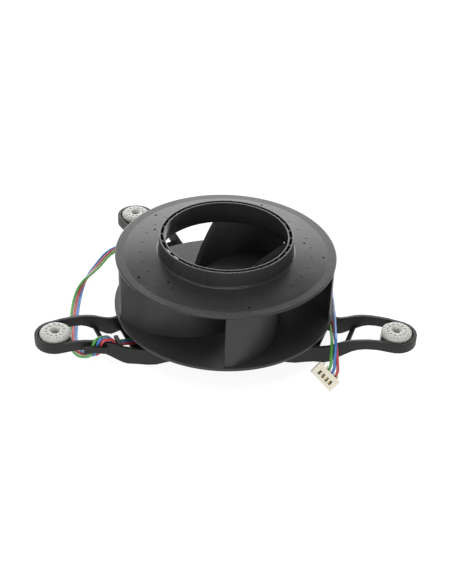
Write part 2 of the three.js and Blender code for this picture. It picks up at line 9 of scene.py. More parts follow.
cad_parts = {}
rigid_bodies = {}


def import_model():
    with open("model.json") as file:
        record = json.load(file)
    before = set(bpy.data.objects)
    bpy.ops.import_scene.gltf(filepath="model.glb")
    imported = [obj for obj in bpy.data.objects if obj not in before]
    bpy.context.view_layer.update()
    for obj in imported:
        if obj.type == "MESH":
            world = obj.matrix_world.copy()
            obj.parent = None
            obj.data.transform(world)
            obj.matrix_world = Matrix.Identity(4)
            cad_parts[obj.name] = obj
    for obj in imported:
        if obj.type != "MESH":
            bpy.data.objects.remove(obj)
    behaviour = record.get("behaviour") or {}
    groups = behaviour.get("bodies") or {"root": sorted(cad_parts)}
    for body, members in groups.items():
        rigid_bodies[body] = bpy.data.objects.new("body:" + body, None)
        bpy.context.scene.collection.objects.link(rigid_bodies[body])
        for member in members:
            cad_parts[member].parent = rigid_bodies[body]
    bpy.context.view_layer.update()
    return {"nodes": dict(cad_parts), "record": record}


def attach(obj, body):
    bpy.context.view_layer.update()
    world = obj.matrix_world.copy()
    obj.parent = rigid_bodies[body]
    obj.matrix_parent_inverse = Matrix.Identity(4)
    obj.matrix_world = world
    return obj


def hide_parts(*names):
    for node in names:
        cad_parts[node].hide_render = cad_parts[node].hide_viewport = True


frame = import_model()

bl_info = {
    "name": "Boiler Blower",
    "version": (1, 0, 0),
    "blender": (4, 5, 0),
    "location": "View3D > Sidebar > Blower",
    "description": "Builds the visible pieces of a small external-rotor radial blower",
    "category": "Object",
}

MM = 0.001
TURN = 2 * math.pi

# ---------------------------------------------------------------- shared sizes, in millimetres

COLLAR_OUTER = 36.2
COLLAR_INNER = 33.1
LIP_WALL = 0.8
GROOVE_FLOOR = 54.6
COLLAR_TOP = 58.4
SHROUD_TOP = 48
SHROUD_RADIUS = 60
# what cuts into the shroud from above starts this high, clear of its top face
ABOVE_SHROUD = 52
MERGE_MM = 0.002
SMOOTH_DEGREES = 32
BASE_PLATE_BOTTOM = 14.1
BASE_PLATE_TOP = 15.9
ARM_DEGREES = {"right": 341.5, "left": 205.1, "rear": 125.4}
DAMPER_DISTANCE = 97.3

# The middle of the three leads, from the hub to the connector. Each row is x, y, z, the azimuth and
# the tilt of the line on which the leads lie side by side, the places of the green, blue and red
# lead on that line, in pitches, and how far the blue one rides up.
LEAD_ROUTE = [
    (-21.5, -10.1, 4.6, 295, 0, -1, 0, 1, 0),
    (-43, -21.4, 3, 297, 0, -1, 0, 1, 0),
    (-51, -27.9, 5.2, 302, 0, -1, 0, 1, 0),
    (-54.4, -32, 7.9, 302, 0, -1, 0, 1, 0),
    (-56.7, -35, 9.4, 305, 0, -1.1, 0, 1.1, 0),
    (-58.6, -37.2, 11.5, 312, 0, -1.1, 0, 1.1, 0),
    (-59.4, -38.4, 15.4, 318, 0, -1.1, 0, 1.1, 0),
    (-61.1, -40.8, 17.3, 327, 0, -1.2, 0, 1.2, 0),
    (-63.1, -43.5, 18.8, 340, 0, -1.2, 0, 1.2, 0),
    (-64.7, -45.7, 19.3, 365, 0, -1.3, 0, 1.35, 0),
    (-65.7, -46.07, 16.6, 379, 0, -1.3, 0, 1.2, 0),
    (-66.3, -46.2, 13.4, 379, 0, -1.3, 0, 1.2, 0),
    (-67.2, -46.1, 10.4, 379, 0, -1.3, 0, 1.2, 0),
    (-69.2, -43, 7, 387, 0, -1.2, 0, 1.2, 0.2),
    (-72, -40, 4.4, 394, 0, -1.1, 0.2, 1.1, 0.75),
    (-75.6, -36.6, 2, 398, 0, -1, 0.55, 0.6, 1.1),
    (-79.4, -31.5, 1.1, 390, 0, -1, 1.1, 0, 0.7),
    (-82.2, -22, 0.95, 370, 0, -1, 1, 0, 0.1),
    (-83.6, -9, 0.9, 364, 0, -1, 1, 0, 0),
    (-84.8, 8, 1.25, 362, -12, -1, 1, 0, 0),
    (-84.4, 20, 2.1, 359, -45, -1, 1, 0, 0),
    (-82.9, 29, 2.6, 356, -90, -1, 1, 0, 0),
    (-81, 37, 2.1, 171, -45, -1, 1, 0, 0),
    (-77.6, 48, 1.25, 158, -12, -1, 1, 0, 0),
    (-70.2, 66.4, 0.9, 138, 0, -1, 1, 0, 0),
    (-58, 74.5, 0.9, 107, 0, -1, 1, 0, 0),
    (-38, 73.5, 0.9, 86, 0, -1, 1, 0, 0),
    (2, 73.5, 0.9, 89, 0, -1, 1, 0, 0),
    (26, 72, 0.9, 78, 0, -1, 1, 0, 0),
    (45, 64, 0.9, 58, 0, -1, 1, 0, 0),
    (56.5, 52, 1, 35, 0, -1, 1, 0, 0),
    (60.5, 38, 3, 8, 0, -1, 1, 0, 0),
    (60.2, 18, 7.4, 0, 0, -1, 1, 0, 0),
    (59.9, -7.4, 11.4, -3, 0, -1, 0.8, 0, 0.8),
    (60.3, -25, 12.9, -4, 0, -1, 0.2, 0, 1.05),
    (59.9, -35, 15.3, -8, 0, -1.1, 0, 0.1, 1.05),
    (59.5, -41.6, 13.9, -14, -15, -1.2, 0, 0.6, 0.95),
    (58.8, -47.3, 12.2, -24, -28, -1.35, 0, 1.25, 0.2),
    (58.7, -51.25, 10.67, -28, -35.4, -1.47, 0, 1.47, 0),
    (57.3, -53.45, 9.29, -28.2, -35.4, -1.47, 0, 1.47, 0),
]
LEADS = ("green", "blue", "red")


# ---------------------------------------------------------------- colour and shader tools

def colour(hexadecimal):
    """An sRGB hex colour as linear red, green, blue and alpha."""
    shares = [int(hexadecimal[i:i + 2], 16) / 255 for i in (1, 3, 5)]
    return tuple([s / 12.92 if s <= 0.04045 else ((s + 0.055) / 1.055) ** 2.4 for s in shares] + [1.0])


def add_node(tree, kind, settings=None, inputs=None):
    """Add a shader node. Each input is a plain value, or the output socket that feeds it."""
    made = tree.nodes.new(kind)
    for name, value in (settings or {}).items():
        setattr(made, name, value)
    for name, value in (inputs or {}).items():
        if isinstance(value, bpy.types.NodeSocket):
            tree.links.new(value, made.inputs[name])
        else:
            made.inputs[name].default_value = value
    return made


def start_material(name, **shader_values):
    """A material with its shader's fixed values set, and the object's coordinates."""
    material = bpy.data.materials.new(name)
    material.use_nodes = True
    tree = material.node_tree
    tree.nodes.clear()
    shader = add_node(tree, "ShaderNodeBsdfPrincipled", inputs=shader_values)
    output = add_node(tree, "ShaderNodeOutputMaterial", inputs={"Surface": shader.outputs[0]})
    output.is_active_output = True
    place = add_node(tree, "ShaderNodeTexCoord").outputs["Object"]
    return material, tree, shader, place


def noise(tree, place, size_mm, detail=2.0, rough=0.5, stretch=None):
    """Noise whose blotches are about size_mm across, drawn out by stretch where that is given."""
    if stretch:
        place = add_node(tree, "ShaderNodeMapping", {}, {"Vector": place, "Scale": stretch}).outputs[0]
    values = {"Vector": place, "Scale": 1000 / size_mm, "Detail": detail, "Roughness": rough}
    return add_node(tree, "ShaderNodeTexNoise", {}, values).outputs["Fac"]


def between(tree, factor, low, high, start=0.3, end=0.7):
    """A value that goes from low to high as the factor goes from start to end."""
    values = {"Value": factor, "From Min": start, "From Max": end, "To Min": low, "To Max": high}
    return add_node(tree, "ShaderNodeMapRange", {}, values).outputs[0]


def mixed(tree, factor, first, second):
    """The first colour where the factor is 0, and the second where it is 1."""
    mix = add_node(tree, "ShaderNodeMix", {"data_type": "RGBA"}, {0: factor, 6: first, 7: second})
    return mix.outputs[2]


def bump(tree, shader, height, depth_mm, strength=1.0):
    """Raise and sink the surface by the height, by as much as depth_mm."""
    values = {"Height": height, "Distance": depth_mm * MM, "Strength": strength}
    tree.links.new(add_node(tree, "ShaderNodeBump", {}, values).outputs[0], shader.inputs["Normal"])


def feed(tree, shader, **sources):
    """Link each source to the shader's input of that name, an underscore standing for a space."""
    for name, source in sources.items():
        tree.links.new(source, shader.inputs[name.replace("_", " ")])


# ---------------------------------------------------------------- finishes of the visible pieces

def wheel_polyamide(name, dark, light, roughness):
    """Injection-moulded black polyamide: a smooth satin skin with faint flow clouds."""
    material, tree, shader, place = start_material(name, IOR=1.5, **{"Specular IOR Level": 0.3})
    clouds = noise(tree, place, 14, 4, 0.6)
    skin = noise(tree, place, 0.9, 2)
    base = mixed(tree, clouds, dark, light)
    feed(tree, shader, Base_Color=base, Roughness=between(tree, clouds, *roughness))
    bump(tree, shader, skin, 0.01)
    return material


def collar_polyamide(settings):
    """The same polyamide where it ran up a thin wall: upright flow lines, and a duller skin."""
    material, tree, shader, place = start_material(
        "polyamide with flow lines", IOR=1.5, **{"Specular IOR Level": 0.3})
    lines = noise(tree, place, 2.2, 3, 0.6, stretch=(1, 1, 0.06))
    base = mixed(tree, lines, settings.colour_dark, settings.colour_light)
    feed(tree, shader, Base_Color=base, Roughness=between(tree, lines, 0.38, 0.5))
    bump(tree, shader, lines, 0.02)
    return material


def lip_painted_highlight():
    """Polyamide at a thin lip: its paler colour is a painted highlight on the rounded edge, and it is
    shinier.
    """
    material, tree, shader, place = start_material("burnished polyamide", IOR=1.5)
    highlight_clouds = noise(tree, place, 3, 3, 0.6)
    # both colours are paler than the shroud's plastic: a painted highlight on the rounded lips
    base = mixed(tree, highlight_clouds, colour("#333434"), colour("#484949"))
    feed(tree, shader, Base_Color=base, Roughness=between(tree, highlight_clouds, 0.24, 0.34))
    bump(tree, shader, highlight_clouds, 0.01)
    return material


def bracket_polyamide(settings):
    """Glass-filled polyamide from a spark-eroded mould: black, with a fine even grain."""
    material, tree, shader, place = start_material(
        "grained glass-filled polyamide", IOR=1.5, **{"Specular IOR Level": 0.28})
    # the real grain is about 0.05 mm, drawn at 0.5 mm so that it shows
    grain = noise(tree, place, 0.5, 2)
    clouds = noise(tree, place, 18, 3)
    base = mixed(tree, clouds, settings.colour_dark, settings.colour_light)
    feed(tree, shader, Base_Color=base, Roughness=between(tree, grain, 0.4, 0.52))
    bump(tree, shader, grain, 0.02)
    return material


def silicone_rubber(settings):
    """Moulded translucent silicone: light goes a few millimetres in, and dust clings to it."""
    material, tree, shader, place = start_material(
        "moulded silicone rubber", IOR=1.42,
        **{"Subsurface Weight": 0.5, "Subsurface Scale": 0.004, "Subsurface Radius": (1.0, 0.95, 0.8)})
    milk = noise(tree, place, 5, 2)
    dust = noise(tree, place, 0.8, 4, 0.7)
    body = mixed(tree, milk, settings.colour_dark, settings.colour_light)
    base = mixed(tree, between(tree, dust, 0, 0.45, 0.56, 0.72), body, colour("#8f8c84"))
    feed(tree, shader, Base_Color=base, Roughness=between(tree, dust, 0.38, 0.6))
    bump(tree, shader, dust, 0.03)
    return material


def vinyl_insulation(name, body, shade):
    """Extruded vinyl insulation: smooth and slightly shiny, with faint marks along it."""
    material, tree, shader, place = start_material(f"{name} vinyl insulation", IOR=1.53)
    clouds = noise(tree, place, 6, 2)
    marks = noise(tree, place, 1.2, 3, 0.6)
    base = mixed(tree, between(tree, clouds, 0, 1), colour(body), colour(shade))
    feed(tree, shader, Base_Color=base, Roughness=between(tree, marks, 0.3, 0.48))
    bump(tree, shader, marks, 0.02)
    return material


def ivory_nylon():
    """Moulded natural nylon: ivory, with light going a little way in."""
    material, tree, shader, place = start_material(
        "moulded ivory nylon", IOR=1.53,
        **{"Subsurface Weight": 0.25, "Subsurface Scale": 0.002, "Subsurface Radius": (1.0, 0.9, 0.6)})
    clouds = noise(tree, place, 3, 2)
    skin = noise(tree, place, 0.7, 2)
    base = mixed(tree, clouds, colour("#dedacb"), colour("#cfc9b4"))
    feed(tree, shader, Base_Color=base, Roughness=between(tree, skin, 0.36, 0.5))
    bump(tree, shader, skin, 0.015)
    return material


# Finishes of pieces kept as they are: what the material is, two colours, roughness, metallic, and the
# pattern's size in millimetres with its stretch along X, Y and Z.
KEPT_FINISHES = {
    # barrel-plated zinc on pressed steel: dull grey, with soft bluish spangle
    "zinc_steel": ("zinc-plated steel", "#96999b", "#7f8488", (0.36, 0.5), 1.0, 2.0, (1, 1, 1)),
    # centreless-ground steel: fine rings round the axis
    "ground_steel": ("ground steel", "#c8c9ca", "#b4b5b7", (0.18, 0.3), 1.0, 0.6, (1, 1, 6)),
    # sintered ferrite: dark, dull and slightly pitted
    "ferrite": ("sintered ferrite", "#3a3836", "#2c2a29", (0.6, 0.8), 0.0, 0.8, (1, 1, 1)),
    # turned brass: rings left by the tool
    "brass": ("turned brass", "#c9a561", "#b28d4c", (0.22, 0.36), 1.0, 0.8, (1, 1, 5)),
    # enamelled copper wire, wound in close turns of 0.25 mm
    "copper_wire": ("enamelled copper winding", "#a8531f", "#7c3512", (0.25, 0.45), 0.6, 0.5, (1, 1, 7)),
    # moulded natural nylon: off-white and slightly cloudy
    "natural_nylon": ("natural nylon", "#d9d4c3", "#c9c2ad", (0.4, 0.55), 0.0, 2.5, (1, 1, 1)),
    # solder resist over a glass-fibre board: green, with the weave faintly showing
    "board_green": ("solder resist", "#1f5b3a", "#17482d", (0.3, 0.45), 0.0, 0.9, (1, 1, 1)),
    # transfer-moulded epoxy: black, dull and slightly sandy
    "chip_black": ("moulded epoxy", "#1e1e20", "#151517", (0.5, 0.65), 0.0, 0.5, (1, 1, 1)),
    # tin worn thin on spring bronze: straw-coloured, with faint rolling lines
    "tinned_contact": ("tinned bronze", "#b9ab80", "#978659", (0.32, 0.45), 1.0, 0.5, (1, 6, 1)),
}


def kept_finish(slot_name):
    """The finish of a piece that keeps its shape, by its material slot."""
    name, first, second, roughness, metallic, size_mm, stretch = KEPT_FINISHES[slot_name]
    material, tree, shader, place = start_material(name, Metallic=metallic)
    pattern = noise(tree, place, size_mm, 3, 0.55, stretch)
    base = mixed(tree, pattern, colour(first), colour(second))
    feed(tree, shader, Base_Color=base, Roughness=between(tree, pattern, *roughness))
    bump(tree, shader, pattern, 0.015)
    return material


# ---------------------------------------------------------------- modelling tools

def select_only(*pieces):
    """Select these pieces and nothing else; the first one becomes the active one."""
    for other in bpy.data.objects:
        other.select_set(False)
    for piece in pieces:
        piece.select_set(True)
    bpy.context.view_layer.objects.active = pieces[0] if pieces else None


def edit(piece):
    """Open the piece in edit mode with all its corners selected."""
    select_only(piece)
    bpy.ops.object.mode_set(mode="EDIT")
    bpy.ops.mesh.select_mode(type="VERT")
    bpy.ops.mesh.select_all(action="SELECT")


def leave_edit():
    """Go back to object mode."""
    bpy.ops.object.mode_set(mode="OBJECT")


def spot(radius, height, degrees=0.0):
    """A place in metres, from a radius, a height and an angle about the axis."""
    angle = math.radians(degrees)
    return Vector((radius * math.cos(angle), radius * math.sin(angle), height)) * MM


def drawn_line(name, places):
    """One corner extruded from place to place; the piece is left in edit mode."""
    select_only()
    bpy.ops.mesh.primitive_plane_add(size=MM, location=(0, 0, 0))
    piece = bpy.context.object
    piece.name = piece.data.name = name
    edit(piece)
    bpy.ops.mesh.merge(type="CENTER")
    bpy.ops.transform.translate(value=places[0])
    for here, there in zip(places, places[1:]):
        bpy.ops.mesh.extrude_region_move(TRANSFORM_OT_translate={"value": there - here})
    return piece


def closed_up():
    """Merge what meets, and turn every face outwards."""
    bpy.ops.mesh.select_all(action="SELECT")
    bpy.ops.mesh.remove_doubles(threshold=MERGE_MM * MM)
    bpy.ops.mesh.normals_make_consistent(inside=False)


def turned(name, profile, segments=128):
    """A closed profile of radius and height spun once about the axis."""
    piece = drawn_line(name, [spot(radius, height) for radius, height in [*profile, profile[0]]])
    bpy.ops.mesh.select_all(action="SELECT")
    bpy.ops.mesh.spin(steps=segments, angle=TURN, center=(0, 0, 0), axis=(0, 0, 1))
    closed_up()
    leave_edit()
    return piece


def apply_modifier(piece, kind, **settings):
    """Add a modifier with its settings, and apply it."""
    modifier = piece.modifiers.new(kind.lower(), kind)
    for name, value in settings.items():
        setattr(modifier, name, value)
    select_only(piece)
    bpy.ops.object.modifier_apply(modifier=modifier.name)


def joined(piece, tool, operation="UNION"):
    """Join the tool to the piece, or cut it away, or keep what they share; the tool is used up."""
    apply_modifier(piece, "BOOLEAN", object=tool, operation=operation, solver="MANIFOLD")
    bpy.data.objects.remove(tool)
    return piece


def shaded(piece, degrees=SMOOTH_DEGREES, broad=False):
    """Shade edges blunter than the angle smooth; where broad is set, the large faces lead."""
    select_only(piece)
    bpy.ops.object.shade_smooth_by_angle(angle=math.radians(degrees))
    if broad:
        apply_modifier(piece, "WEIGHTED_NORMAL", keep_sharp=True)
    return piece


def eased(piece, width_mm, segments=2, degrees=SMOOTH_DEGREES, clamp=True, broad=False):
    """Round the sharp edges, and shade what is left smooth."""
    apply_modifier(
        piece, "BEVEL", width=width_mm * MM, segments=segments, limit_method="ANGLE",
        angle_limit=math.radians(degrees), use_clamp_overlap=clamp, miter_outer="MITER_ARC")
    return shaded(piece, degrees, broad)


def block(name, low, high):
    """A primitive cube set between two corners, in millimetres."""
    select_only()
    middle = [(a + b) / 2 * MM for a, b in zip(low, high)]
    size = [(b - a) * MM for a, b in zip(low, high)]
    bpy.ops.mesh.primitive_cube_add(size=1, location=middle, scale=size)
    piece = bpy.context.object
    piece.name = piece.data.name = name
    bpy.ops.object.transform_apply(location=True, rotation=True, scale=True)
    return piece


def stud(name, radius, low, high, centre=(0, 0), sides=20):
    """A primitive cylinder standing on a centre, in millimetres."""
    select_only()
    place = (centre[0] * MM, centre[1] * MM, (low + high) / 2 * MM)
    bpy.ops.mesh.primitive_cylinder_add(
        vertices=sides, radius=radius * MM, depth=(high - low) * MM, location=place)
    piece = bpy.context.object
    piece.name = piece.data.name = name
    bpy.ops.object.transform_apply(location=True, rotation=True, scale=True)
    return piece


def copies_round(piece, angles):
    """The piece copied to each angle about the axis, as one mesh."""
    made = []
    for degrees in angles:
        copy = bpy.data.objects.new(f"{piece.name}_at_{len(made)}", piece.data.copy())
        bpy.context.scene.collection.objects.link(copy)
        copy.data.transform(Matrix.Rotation(math.radians(degrees), 4, "Z"))
        made.append(copy)
    bpy.data.objects.remove(piece)
    select_only(*made)
    bpy.ops.object.join()
    return made[0]


def refined_copy(node_name, name, width_mm, merge_mm=MERGE_MM, flat_degrees=0.4):
    """A copy of a node with its triangles merged to whole faces and its edges rounded."""
    piece = bpy.data.objects.new(name, frame["nodes"][node_name].data.copy())
    bpy.context.scene.collection.objects.link(piece)
    piece.data.materials.clear()
    edit(piece)
    bpy.ops.mesh.remove_doubles(threshold=merge_mm * MM)
    bpy.ops.mesh.dissolve_degenerate(threshold=merge_mm * MM)
    bpy.ops.mesh.select_all(action="SELECT")
    bpy.ops.mesh.dissolve_limited(angle_limit=math.radians(flat_degrees))
    leave_edit()
    return eased(piece, width_mm, 2, 34, clamp=False, broad=True)


def finished(piece, body, slot_name, material, *nodes):
    """Give the piece its finish and its body, and hide the nodes that it stands for. The slot name is not
    used.
    """
    if piece.type == "MESH" and not len(piece.data.polygons):
        raise RuntimeError(f"{piece.name} has no faces")
    piece.data.materials.clear()
    piece.data.materials.append(material)
    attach(piece, body)
    if nodes:
        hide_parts(*nodes)
    return piece


# ---------------------------------------------------------------- settings

def length(name, description, value_mm, low=0.1, high=200.0):
    """A length that the user can change, given here in millimetres."""
    return FloatProperty(
        name=name, description=description, default=value_mm * MM, min=low * MM, max=high * MM,
        subtype="DISTANCE", unit="LENGTH")


def tint(name, description, hexadecimal):
    """A colour that the user can change."""
    return FloatVectorProperty(
        name=name, description=description, default=colour(hexadecimal), size=4, min=0, max=1,
        subtype="COLOR")


class WheelSettings(PropertyGroup):
    """Sizes and colours of the shroud, the base plate and the blades"""
    lip_rounding: length("Lip rounding", "Radius of the collar's lips", 0.22)
    pit_radius: length("Pit radius", "Radius of the small mould marks on the shroud", 0.7)
    blade_thickness: length("Blade thickness", "Wall of each blade", 1.9)
    groove_ribs: IntProperty(name="Groove ribs", description="Ribs in the collar's groove", default=30, min=3)
    blades: IntProperty(name="Blades", description="Blades on the base plate", default=5, min=2)
    colour_dark: tint("Darker colour", "Darker clouds of the plastic", "#262726")
    colour_light: tint("Lighter colour", "Lighter clouds of the plastic", "#303130")
    # these are lighter than the shroud's colours: the plastic's own tone plus painted fill light for the
    # blades in shade
    base_dark: tint("Base, darker", "Darker clouds of the base plate and the blades", "#2d2e2d")
    base_light: tint("Base, lighter", "Lighter clouds of the base plate and the blades", "#383937")


class BracketSettings(PropertyGroup):
    """Rounding and colours of the bracket"""
    edge_rounding: length("Edge rounding", "Radius of the bracket's edges", 0.25)
    colour_dark: tint("Darker colour", "Darker clouds of the plastic", "#1a1a19")
    colour_light: tint("Lighter colour", "Lighter clouds of the plastic", "#242423")


class DamperSettings(PropertyGroup):
    """Sizes and colours of the three dampers"""
    hole_radius: length("Hole radius", "Radius of the small holes round the bore", 0.72)
    hole_ring: length("Hole ring", "Radius of the ring of small holes", 4.75)
    holes: IntProperty(name="Holes", description="Small holes round the bore", default=12, min=3)
    bore_ribs: IntProperty(name="Bore ribs", description="Ribs along the bore", default=10, min=3)
    flutes: IntProperty(name="Flutes", description="Shallow slots across the outer band", default=24, min=3)
    colour_dark: tint("Darker colour", "Darker clouds of the rubber", "#b0b1ac")
    colour_light: tint("Lighter colour", "Lighter clouds of the rubber", "#c5c6c1")


class LeadSettings(PropertyGroup):
    """Sizes of the three leads"""
    diameter: length("Diameter", "Across the insulation", 1.6)
    pitch: length("Pitch", "From lead to lead where they lie side by side", 1.7)


class StudioSettings(PropertyGroup):
    """Place of the camera, and colour of the floor"""
    camera_distance: length("Camera distance", "From the camera to the wheel's top plate", 600, 100, 5000)
    camera_elevation: FloatProperty(
        name="Camera elevation", description="Angle of the camera above the floor",
        default=math.radians(33.58), subtype="ANGLE", unit="ROTATION")
    camera_roll: FloatProperty(
        name="Camera roll", description="Turn of the camera about its line of sight",
        default=math.radians(1.98), subtype="ANGLE", unit="ROTATION")
    focal_length: FloatProperty(
        name="Focal length", description="In millimetres, on a 36 mm sensor", default=68.23, min=10)
    backdrop: tint("Backdrop", "Colour of the floor", "#787878")


# ---------------------------------------------------------------- stage

class BLOWER_OT_studio(Operator):
    """Set up the camera, the soft lights and the pale floor"""
    bl_idname = "blower.studio"
    bl_label = "Studio"

    # the frame is moved down by this share of its longer side, so that the object sits above its middle
    SHIFT = -0.0704
    SENSOR_WIDTH = 36
    NEAREST = 0.01
    # name, place in metres, width, height and power of each softbox; each faces the wheel
    SOFTBOXES = (
        # low and wide, for the sheen on the top plate
        ("softbox_back", (0.0, 1.3, 0.42), 2.4, 0.85, 26),
        ("softbox_top", (-0.1, -0.15, 1.3), 0.8, 0.8, 8),
        ("softbox_left", (-1.1, -0.5, 0.7), 0.5, 0.5, 3),
        ("softbox_front", (0.3, -1.3, 0.35), 1.2, 0.6, 6),
    )
    WHEEL_MIDDLE = Vector((0, 0, 0.03))
    ROOM_STRENGTH = 0.32
    WHITE = (1.0, 1.0, 1.0, 1.0)
    FLOOR_SIZE = 8
    # just under the object, so that the two don't share a plane
    FLOOR_LEVEL = -0.0001
    FLOOR_GLOW = 0.9

    def execute(self, context):
        settings = context.scene.blower_studio
        self.add_camera(context, settings)
        self.add_lights(context)
        self.add_floor(settings)
        return {"FINISHED"}

    def add_camera(self, context, settings):
        """A camera in front of the wheel, looking down on it, and turned a little about its line of sight."""
        elevation, roll = settings.camera_elevation, settings.camera_roll
        back = Vector((0, -math.cos(elevation), math.sin(elevation)))
        level = Vector((1, 0, 0))
        up = Vector((0, math.sin(elevation), math.cos(elevation)))
        right = level * math.cos(roll) + up * math.sin(roll)
        top = up * math.cos(roll) - level * math.sin(roll)
        data = bpy.data.cameras.new("camera")
        data.sensor_width = self.SENSOR_WIDTH
        data.lens = settings.focal_length
        data.shift_y = self.SHIFT
        data.clip_start = self.NEAREST
        camera = bpy.data.objects.new("camera", data)
        context.scene.collection.objects.link(camera)
        place = Vector((0, 0, SHROUD_TOP * MM)) + back * settings.camera_distance
        turned_axes = Matrix((right, top, back)).transposed().to_4x4()
        camera.matrix_world = Matrix.Translation(place) @ turned_axes
        context.scene.camera = camera

    def add_lights(self, context):
        """Four softboxes in an evenly lit room."""
        world = bpy.data.worlds.new("soft room")
        world.use_nodes = True
        background = world.node_tree.nodes["Background"]
        background.inputs["Color"].default_value = self.WHITE
        background.inputs["Strength"].default_value = self.ROOM_STRENGTH
        context.scene.world = world
        for name, place, width, height, power in self.SOFTBOXES:
            data = bpy.data.lights.new(name, "AREA")
            data.shape = "RECTANGLE"
            data.size = width
            data.size_y = height
            data.energy = power
            light = bpy.data.objects.new(name, data)
            context.scene.collection.objects.link(light)
            facing = (self.WHEEL_MIDDLE - Vector(place)).to_track_quat("-Z", "Y")
            light.matrix_world = Matrix.Translation(place) @ facing.to_matrix().to_4x4()
        context.scene.view_settings.view_transform = "Standard"

    def add_floor(self, settings):
        """A wide matt floor that glows a little, as a backlit table does, so that shadows stay faint."""
        select_only()
        bpy.ops.mesh.primitive_plane_add(size=self.FLOOR_SIZE, location=(0, 0, self.FLOOR_LEVEL))
        floor = bpy.context.object
        floor.name = "floor"
        material, tree, shader, place = start_material(
            "matt white floor", Roughness=0.9,
            **{"Emission Color": self.WHITE, "Emission Strength": self.FLOOR_GLOW})
        clouds = noise(tree, place, 400, 2)
        feed(tree, shader, Base_Color=mixed(tree, clouds, settings.backdrop, colour("#7c7c7c")))
        floor.data.materials.append(material)


# ---------------------------------------------------------------- leads

def lead_points(settings, lane):
    """The listed places of one lead, in metres."""
    points = []
    for x, y, z, azimuth, tilt, *places in LEAD_ROUTE:
        side = places[lane] * settings.pitch / MM
        ride = places[3] * settings.pitch / MM if lane == 1 else 0
        level = side * math.cos(math.radians(tilt))
        turn = math.radians(azimuth)
        points.append(Vector((
            x + level * math.cos(turn),
            y + level * math.sin(turn),
            z + side * math.sin(math.radians(tilt)) + ride)) * MM)
    return points


def smooth_route(points, steps):
    """A centripetal curve through the points, as places with so many steps from point to point."""
    ends = [points[0] * 2 - points[1], *points, points[-1] * 2 - points[-2]]
    route = []
    for p0, p1, p2, p3 in zip(ends, ends[1:], ends[2:], ends[3:]):
        knots = [0.0]
        for a, b in ((p0, p1), (p1, p2), (p2, p3)):
            knots.append(knots[-1] + math.sqrt((b - a).length))
        for i in range(steps):
            t = knots[1] + (knots[2] - knots[1]) * i / steps
            route.append(curve_place((p0, p1, p2, p3), knots, t))
    return [*route, points[-1].copy()]


def run_length(route):
    """The length of the line through the places."""
    return sum((b - a).length for a, b in zip(route, route[1:]))


def relaxed(route, spacing_mm=0.8, passes=4):
    """The route at even spacing, its sharpest bends eased as a springy lead eases them."""
    whole = run_length(route)
    count = round(whole / (spacing_mm * MM))
    even, walked, wanted = [route[0].copy()], 0.0, 1
    for a, b in zip(route, route[1:]):
        step = (b - a).length
        while wanted < count and walked + step >= wanted * whole / count:
            even.append(a.lerp(b, (wanted * whole / count - walked) / step))
            wanted += 1
        walked += step
    even.append(route[-1].copy())
    for _ in range(passes):
        middle = [(a + b * 2 + c) / 4 for a, b, c in zip(even, even[1:], even[2:])]
        even = [even[0], *middle, even[-1]]
    return even


def curve_place(points, knots, t):
    """The place at t on the curve through the middle two of four points."""
    a1 = points[0].lerp(points[1], (t - knots[0]) / (knots[1] - knots[0]))
    a2 = points[1].lerp(points[2], (t - knots[1]) / (knots[2] - knots[1]))
    a3 = points[2].lerp(points[3], (t - knots[2]) / (knots[3] - knots[2]))
    b1 = a1.lerp(a2, (t - knots[0]) / (knots[2] - knots[0]))
    b2 = a2.lerp(a3, (t - knots[1]) / (knots[3] - knots[1]))
    return b1.lerp(b2, (t - knots[1]) / (knots[2] - knots[1]))


class BLOWER_OT_leads(Operator):
    """Lay the three insulated leads from the hub to the connector"""
    bl_idname = "blower.leads"
    bl_label = "Leads"

    COLOURS = {
        "green": ("#3f8a32", "#57a048"),
        "blue": ("#2f68ad", "#4580c2"),
        "red": ("#b0323a", "#c64b50"),
    }
    STEPS_PER_PLACE = 5

    def execute(self, context):
        settings = context.scene.blower_leads
        for lane, shade in enumerate(LEADS):
            self.add_lead(context, settings, lane, shade)
        return {"FINISHED"}

    def add_lead(self, context, settings, lane, shade):
        """One lead as a round curve along its route."""
        route = relaxed(smooth_route(lead_points(settings, lane), self.STEPS_PER_PLACE))
        data = bpy.data.curves.new(f"{shade}_lead", "CURVE")
        data.dimensions = "3D"
        spline = data.splines.new("POLY")
        spline.points.add(len(route) - 1)
        for point, place in zip(spline.points, route):
            point.co = (*place, 1)
        data.bevel_depth = settings.diameter / 2
        data.bevel_resolution = 3
        data.use_fill_caps = True
        lead = bpy.data.objects.new(f"{shade}_lead", data)
        context.scene.collection.objects.link(lead)
        material = vinyl_insulation(shade, *self.COLOURS[shade])
        finished(lead, "base", f"lead_{shade}", material, f"lead_{shade}")


# ---------------------------------------------------------------- wheel

def arc(centre, radius, first, last, count):
    """Places on an arc, as radius and height pairs."""
    angles = [math.radians(first + (last - first) * i / count) for i in range(count + 1)]
    return [(centre[0] + radius * math.cos(a), centre[1] + radius * math.sin(a)) for a in angles]


